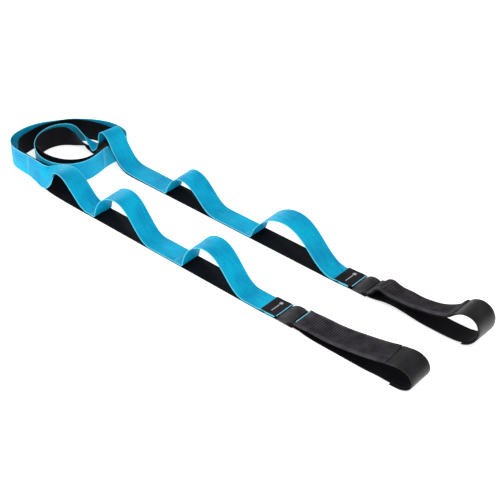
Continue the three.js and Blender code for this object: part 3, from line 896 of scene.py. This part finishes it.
MARK_PITCH = 0.8
MARK_LINE = np.arange(-11.5, 5.5, MARK_PITCH)
MARK_LINE_ROWS = (-MARK_PITCH / 2, MARK_PITCH / 2)
MARK_SQUARE = np.arange(7.5, 11.6, MARK_PITCH)
MARK_SQUARE_ROWS = np.arange(-2.4, 2.5, MARK_PITCH)
# Length and radius of a stitch
MARK_STITCH = (0.9, 0.3)
# How far the threads' ends lie off the cloth
MARK_LIFT = 0.05
BAR_LIFT = 0.1


def build_label_mark(end):
    """A plain woven mark: a thin line and a small square of white thread."""
    turn = towards_far(end)
    middle = LABEL_SPAN[end][1] / 2
    height = LABEL_REST + LABEL_THICK / 2 + MARK_LIFT
    rows = [(middle + step, MARK_LINE) for step in MARK_LINE_ROWS]
    rows += [(middle + step, MARK_SQUARE) for step in MARK_SQUARE_ROWS]
    spots = []
    for out, places in rows:
        (centre,), (across,), (off,) = end_frames(end, [out])
        spots += [(centre + off * height + across * turn * place, across, off) for place in places]
    obj = stitches(f"label_mark_{end}", spots, *MARK_STITCH, WHITE_THREAD)
    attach(obj, f"{end}_end")


BAR_PITCH = 0.62
# Length and radius of a stitch
BAR_STITCH = (1.7, 0.36)
LABEL_BAR_HALF = 17.5
GRIP_BAR_HALF = 15.5


def bar_spots(centre, across, along, off, half):
    """A dense bar of thread: stitches laid side by side along the strap."""
    return [(centre + across * place, along, off) for place in centred_places(half, BAR_PITCH)]


def build_label_bar(end):
    (centre,), (across,), (off,) = end_frames(end, [LABEL_TO_BAR[end]])
    height = LABEL_REST + LABEL_THICK / 2 + BAR_LIFT
    spots = bar_spots(centre + off * height, across, np.cross(off, across), off, LABEL_BAR_HALF)
    obj = stitches(f"label_thread_{end}", spots, *BAR_STITCH, THREAD)
    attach(obj, f"{end}_end")
    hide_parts(f"label_bar_{end}")


# Share of the keeper's length, half width, low side, high side
KEEPER_LINE = [
    (-0.04, 18.6, 1.6, 4.8), (0.04, 19.3, 0.8, 6.8), (0.16, 19.7, 0.4, 9.4), (0.35, 19.6, 0.2, 12.4),
    (0.56, 19.2, 0.3, 14.4), (0.76, 18.6, 0.7, 15.0), (0.9, 18.2, 1.2, 14.2), (0.99, 17.8, 1.8, 12.8),
]


# Stations in each span of the line, and powers that square the section across and upwards
KEEPER_STATIONS = 8
KEEPER_SIDES = 40
KEEPER_SQUARENESS = (0.38, 0.722)
KEEPER_RIPPLE = 0.02
KEEPER_LOBES = 3
KEEPER_RIPPLE_RATE = 1.1


def build_keeper(end):
    """A stretched elastic sleeve, full in the middle and drawn in at its mouths."""
    line = np.array(KEEPER_LINE, float)
    fine = spline(line)[:: SPAN_SAMPLES // KEEPER_STATIONS]
    share, half, low, high = fine.T
    outs = KEEPER_START[end] + share * (KEEPER_END - KEEPER_START[end])
    centre = np.stack([LABEL_X[end] + outs, np.full(len(outs), RUN_Y[end]), (low + high) / 2], axis=1)
    angle = np.linspace(0, 2 * math.pi, KEEPER_SIDES, endpoint=False)
    shape_v = np.sign(np.cos(angle)) * np.abs(np.cos(angle)) ** KEEPER_SQUARENESS[0]
    shape_w = np.sign(np.sin(angle)) * np.abs(np.sin(angle)) ** KEEPER_SQUARENESS[1]
    ripple = 1 + KEEPER_RIPPLE * np.sin(outs * KEEPER_RIPPLE_RATE)[:, None] * np.cos(KEEPER_LOBES * angle)
    rings = np.stack([half[:, None] * shape_v, (high - low)[:, None] / 2 * shape_w * ripple], axis=2)
    acrosses = np.broadcast_to(np.array([0.0, 1.0, 0.0]), centre.shape)
    verts, faces, uvs = loft(centre, acrosses, outs, rings)
    obj = make_object(f"keeper_sleeve_{end}", verts, faces, ELASTIC, uvs)
    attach(obj, f"{end}_end")
    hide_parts(f"keeper_{end}")


# ---------------------------------------------------------------- handles

class Handle:
    """The handle loop's mid-line, from the top leg round the tip to the bottom leg."""

    def __init__(self, end):
        self.middle = spline([(LABEL_X[end] + x, RUN_Y[end], z) for x, z, _ in HANDLE_LOOP[end]])
        self.roll = spline([(roll, 0, 0) for *_, roll in HANDLE_LOOP[end]])[:, :1]
        self.lengths = lengths_along(self.middle)
        self.length = self.lengths[-1]

    def line(self, start, stop, step, outwards=0.0):
        """Places, across directions and distances of a layer this far outside the mid-line."""
        at = np.arange(start, min(stop, self.length), step)
        centre = sample(at, self.lengths, self.middle)
        roll = np.radians(sample(at, self.lengths, self.roll))[:, 0]
        across = np.stack([0 * roll, -np.cos(roll), np.sin(roll)], axis=1)
        outward = np.cross(across, unit(np.gradient(centre, axis=0)))
        return centre + outward * outwards, across, at


HANDLES = {end: Handle(end) for end in ("near", "far")}


# The webbing's ends run this far into the keeper and change height there
HIDDEN_LENGTH = 22
TOP_END_RISE = -2.6
BOTTOM_END_RISE = 3.0


def hidden_end(end, mouth, steps, rise):
    """Places of a webbing end inside the keeper, these steps in from its mouth."""
    return np.stack([mouth[0] - steps, np.full(len(steps), RUN_Y[end]),
                     mouth[2] + rise * (steps / HIDDEN_LENGTH)], axis=1)


def build_handle_webbing(end):
    handle = HANDLES[end]
    centre, across, _ = handle.line(0, handle.length, STEP)
    steps = np.arange(HIDDEN_LENGTH, 0, -STEP)
    top = hidden_end(end, centre[0], steps, TOP_END_RISE)
    bottom = hidden_end(end, centre[-1], steps[::-1], BOTTOM_END_RISE)
    centres = np.vstack([top, centre, bottom])
    acrosses = np.vstack([across[:1]] * len(top) + [across] + [across[-1:]] * len(bottom))
    centres, acrosses = even_line(centres, acrosses, FOLD_SOFTNESS)
    at = np.arange(len(centres)) * STEP
    obj = ribbon(f"handle_strap_{end}", centres, acrosses, at, WIDTH, HANDLE_THICK, BLACK)
    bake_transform(obj)
    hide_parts(f"handle_webbing_{end}", f"sewn_ends_{end}")


RIB_SAMPLES = 8
RIB_STOP = 3
RIB_FADE = 6
RIB_ROUNDNESS = 0.7
GRIP_END_ROUND = 1.2
GRIP_END_LOW = 0.35
# Inside the margin: where the ribs reach their full depth, and the points from there on
GRIP_RIBS_FROM = RIB_MARGIN + 0.7
GRIP_INNER_FROM = RIB_MARGIN + 2
GRIP_INNER_POINTS = 6
# The cushion's rounded side: distance in from the edge and share of the full height
GRIP_SIDE = ((0, 0.15), (0.25, 0.55), (0.9, 0.85), (2.0, 1), (RIB_MARGIN, 1))


def grip_outline():
    """The cushion's top across its width: place, height and how much the ribs cut in."""
    half = GRIP_WIDTH / 2
    inner = [half - GRIP_RIBS_FROM, *np.linspace(half - GRIP_INNER_FROM, 0, GRIP_INNER_POINTS)]
    places = np.array([half - inwards for inwards, _ in GRIP_SIDE] + inner)
    crown = np.array([share for _, share in GRIP_SIDE] + [1] * len(inner)) * GRIP_THICK / 2
    ribbed = np.array([0] * len(GRIP_SIDE) + [1] * len(inner))
    v = np.concatenate([places, -places[-2::-1]])
    w = np.concatenate([crown, crown[-2::-1]])
    return v, w, np.concatenate([ribbed, ribbed[-2::-1]])


def build_grip(end):
    """The cushion on the handle's top leg, with moulded ribs across it."""
    outwards = (HANDLE_THICK + GRIP_THICK) / 2 + LAYER_GAP
    centre, across, at = HANDLES[end].line(0, GRIP_LENGTH, RIB_PITCH / RIB_SAMPLES, outwards)
    v, w, on = grip_outline()
    to_end = np.minimum(at - RIB_START, GRIP_LENGTH - RIB_STOP - at)
    ends = np.clip(to_end / RIB_FADE, 0, 1)
    rib = (0.5 - 0.5 * np.cos(2 * math.pi * at / RIB_PITCH)) ** RIB_ROUNDNESS
    top = w[None, :] - RIB_DEPTH * on[None, :] * (ends * rib)[:, None]
    close = np.clip(np.minimum(at, GRIP_LENGTH - at) / GRIP_END_ROUND, GRIP_END_LOW, 1) ** 0.5
    top = top * close[:, None]
    under = np.broadcast_to(-w[::-1], top.shape)
    rings = np.concatenate([
        np.stack([np.broadcast_to(v, top.shape), top], axis=2),
        np.stack([np.broadcast_to(v[::-1], top.shape), under], axis=2),
    ], axis=1)
    verts, faces, uvs = loft(centre, across, at, rings)
    obj = make_object(f"grip_cushion_{end}", verts, faces, GRIP, uvs)
    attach(obj, f"{end}_handle")
    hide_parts(f"grip_pad_{end}")


def build_grip_bar(end):
    height = HANDLE_THICK / 2 + GRIP_THICK + LAYER_GAP + BAR_LIFT
    (before, middle, after), (_, across, _), _ = HANDLES[end].line(0, 3 * STEP, STEP)
    along = unit(after - before)
    outward = np.cross(across, along)
    spots = bar_spots(middle + outward * height, across, along, outward, GRIP_BAR_HALF)
    obj = stitches(f"grip_thread_{end}", spots, *BAR_STITCH, THREAD)
    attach(obj, f"{end}_handle")
    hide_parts(f"grip_bar_{end}")


WRAP_START_GAP = 0.5
WRAP_STEP = 1.2
WRAP_POINTS = 15
WRAP_CORNER = 0.6
WRAP_EDGE_SHARE = 0.6
CREASE_HEIGHT = 0.18
CREASE_LENGTHS = (9, 17)
CREASES_ACROSS = 4


def build_wrap(end):
    outwards = (HANDLE_THICK + WRAP_THICK) / 2 + LAYER_GAP
    start = GRIP_LENGTH + WRAP_START_GAP
    centre, across, at = HANDLES[end].line(start, start + WRAP_LENGTH, WRAP_STEP, outwards)
    half, r = WRAP_WIDTH / 2, WRAP_THICK / 2
    places = np.linspace(half - WRAP_CORNER, -half + WRAP_CORNER, WRAP_POINTS)
    creases = np.cos(places / half * CREASES_ACROSS + at[:, None] / CREASE_LENGTHS[1])
    top = r + CREASE_HEIGHT * np.sin(at / CREASE_LENGTHS[0])[:, None] * creases
    count = len(at)
    top_ring = np.stack([np.broadcast_to(places, top.shape), top], axis=2)
    side = np.array(rounded_edge(half, r, WRAP_EDGE_SHARE))
    under = np.stack([np.broadcast_to(places[::-1], top.shape), np.full(top.shape, -r)], axis=2)
    rings = np.concatenate([
        top_ring, np.broadcast_to(side, (count, 3, 2)), under, np.broadcast_to(-side, (count, 3, 2)),
    ], axis=1)
    verts, faces, uvs = loft(centre, across, at, rings)
    obj = make_object(f"tip_binding_{end}", verts, faces, SATIN, uvs)
    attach(obj, f"{end}_handle")
    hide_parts(f"tip_wrap_{end}")


for _end in ("near", "far"):
    build_label(_end)
    build_label_mark(_end)
    build_label_bar(_end)
    build_keeper(_end)
    build_handle_webbing(_end)
    build_grip(_end)
    build_wrap(_end)
build_grip_bar("near")

# ---------------------------------------------------------------- studio


# Metres and watts, apart from the places given to to_frame()
FLOOR_SIDE = 6.0
FLOOR_DROP = 0.0003
FLOOR_GLOW = 0.62
SKY_STRENGTH = 0.5
# name: direction, distance, size, power
LIGHTS = {
    "key": ((0.55, -0.45, 0.7), 2.6, (1.2, 2.2), 30),
    "fill": ((-0.75, -0.45, 0.5), 3.0, (2.0, 2.0), 33),
    "streak": ((-0.9, 0.35, 0.45), 2.4, (0.25, 1.2), 14),
}
# The middle of the strap, in this script's millimetres
LIGHTS_AIM = (-150, 0, 0)


def build_floor():
    mesh = bpy.data.meshes.new("floor")
    side = FLOOR_SIDE
    z = CAD_BOX[0].z - FLOOR_DROP
    mesh.from_pydata([(-side, -side, z), (side, -side, z), (side, side, z), (-side, side, z)],
                     [], [(0, 1, 2, 3)])
    n = Nodes("pale_floor")
    n.shader.inputs["Base Color"].default_value = (0.92, 0.92, 0.92, 1)
    n.shader.inputs["Roughness"].default_value = 0.9
    n.shader.inputs["Specular IOR Level"].default_value = 0.1
    n.shader.inputs["Emission Color"].default_value = (1, 1, 1, 1)
    n.shader.inputs["Emission Strength"].default_value = FLOOR_GLOW
    mesh.materials.append(n.material)
    obj = bpy.data.objects.new("floor", mesh)
    bpy.context.scene.collection.objects.link(obj)


def area_light(name, direction, distance, size, power):
    light = bpy.data.lights.new(name, "AREA")
    light.shape = "RECTANGLE"
    light.size, light.size_y = size
    light.energy = power
    obj = bpy.data.objects.new(name, light)
    towards = unit(np.array(direction, float))
    obj.location = to_frame(LIGHTS_AIM) + towards * distance
    obj.rotation_mode = "QUATERNION"
    obj.rotation_quaternion = Vector(towards).to_track_quat("Z", "Y")
    bpy.context.scene.collection.objects.link(obj)


def build_studio():
    build_floor()
    world = bpy.data.worlds.new("studio")
    world.use_nodes = True
    sky = world.node_tree.nodes["Background"]
    sky.inputs["Color"].default_value = (1, 1, 1, 1)
    sky.inputs["Strength"].default_value = SKY_STRENGTH
    bpy.context.scene.world = world
    for name, settings in LIGHTS.items():
        area_light(name, *settings)


CAMERA_PLACE = (809.294, -1006.642, 992.84)
CAMERA_LENS = 79.2
CAMERA_SENSOR = 36
CAMERA_TURN = (54.28, 0, 41.9)
CAMERA_CLIP = (0.01, 50)


def build_camera():
    data = bpy.data.cameras.new("camera")
    data.lens = CAMERA_LENS
    data.sensor_width = CAMERA_SENSOR
    data.clip_start, data.clip_end = CAMERA_CLIP
    obj = bpy.data.objects.new("camera", data)
    obj.location = to_frame(CAMERA_PLACE)
    obj.rotation_euler = [math.radians(a) for a in CAMERA_TURN]
    bpy.context.scene.collection.objects.link(obj)
    bpy.context.scene.camera = obj


build_studio()
build_camera()
bpy.context.scene.view_settings.view_transform = "Standard"
